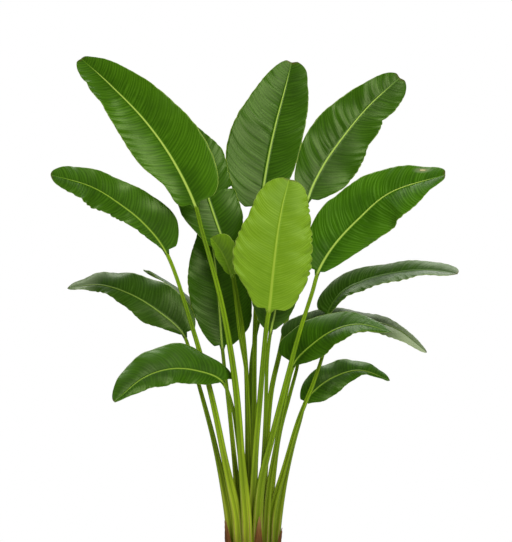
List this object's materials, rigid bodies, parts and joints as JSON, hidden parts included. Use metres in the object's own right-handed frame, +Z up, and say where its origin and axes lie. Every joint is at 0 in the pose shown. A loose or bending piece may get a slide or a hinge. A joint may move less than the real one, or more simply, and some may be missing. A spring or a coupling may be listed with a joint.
{
  "type": "potted bird of paradise",
  "caption": "Bird of paradise house plant: long-stemmed, paddle-shaped green leaves that fan out from potting soil in a plain round pot.",
  "frame": {"origin": "on the ground under the middle of the pot", "axes": "+Z up along the pot's axis, -Y towards the side that the plant faces, +X to that viewer's right"},
  "size_m": [0.9968, 0.4998, 1.5132],
  "materials": {
    "pot_ceramic": "matte",
    "potting_soil": "matte",
    "blade_green": "satin",
    "young_blade": "satin",
    "stem_green": "satin",
    "dry_sheath": "matte"
  },
  "bodies": {
    "root": {"pot": "pot_ceramic", "soil": "potting_soil", "leaf_top_left_stem": "stem_green", "leaf_top_left_blade": "blade_green", "leaf_back_left_stem": "stem_green", "leaf_back_left_blade": "blade_green", "leaf_left_upper_stem": "stem_green", "leaf_left_upper_blade": "blade_green", "leaf_left_mid_stem": "stem_green", "leaf_left_mid_blade": "blade_green", "leaf_left_rear_stem": "stem_green", "leaf_left_rear_blade": "blade_green", "leaf_left_low_stem": "stem_green", "leaf_left_low_blade": "blade_green", "leaf_centre_left_stem": "stem_green", "leaf_centre_left_blade": "blade_green", "leaf_front_stem": "stem_green", "leaf_front_blade": "young_blade", "leaf_small_stem": "stem_green", "leaf_small_blade": "blade_green", "leaf_inner_stem": "stem_green", "leaf_inner_blade": "blade_green", "leaf_top_centre_stem": "stem_green", "leaf_top_centre_blade": "blade_green", "leaf_top_right_stem": "stem_green", "leaf_top_right_blade": "blade_green", "leaf_right_upper_stem": "stem_green", "leaf_right_upper_blade": "blade_green", "leaf_right_mid_stem": "stem_green", "leaf_right_mid_blade": "blade_green", "leaf_right_front_stem": "stem_green", "leaf_right_front_blade": "blade_green", "leaf_right_low_stem": "stem_green", "leaf_right_low_blade": "blade_green", "leaf_right_rear_stem": "stem_green", "leaf_right_rear_blade": "blade_green", "leaf_rear_stem": "stem_green", "leaf_rear_blade": "blade_green", "dry_sheath_left": "dry_sheath", "dry_sheath_middle": "dry_sheath", "dry_sheath_right": "dry_sheath"}
  },
  "joints": []
}
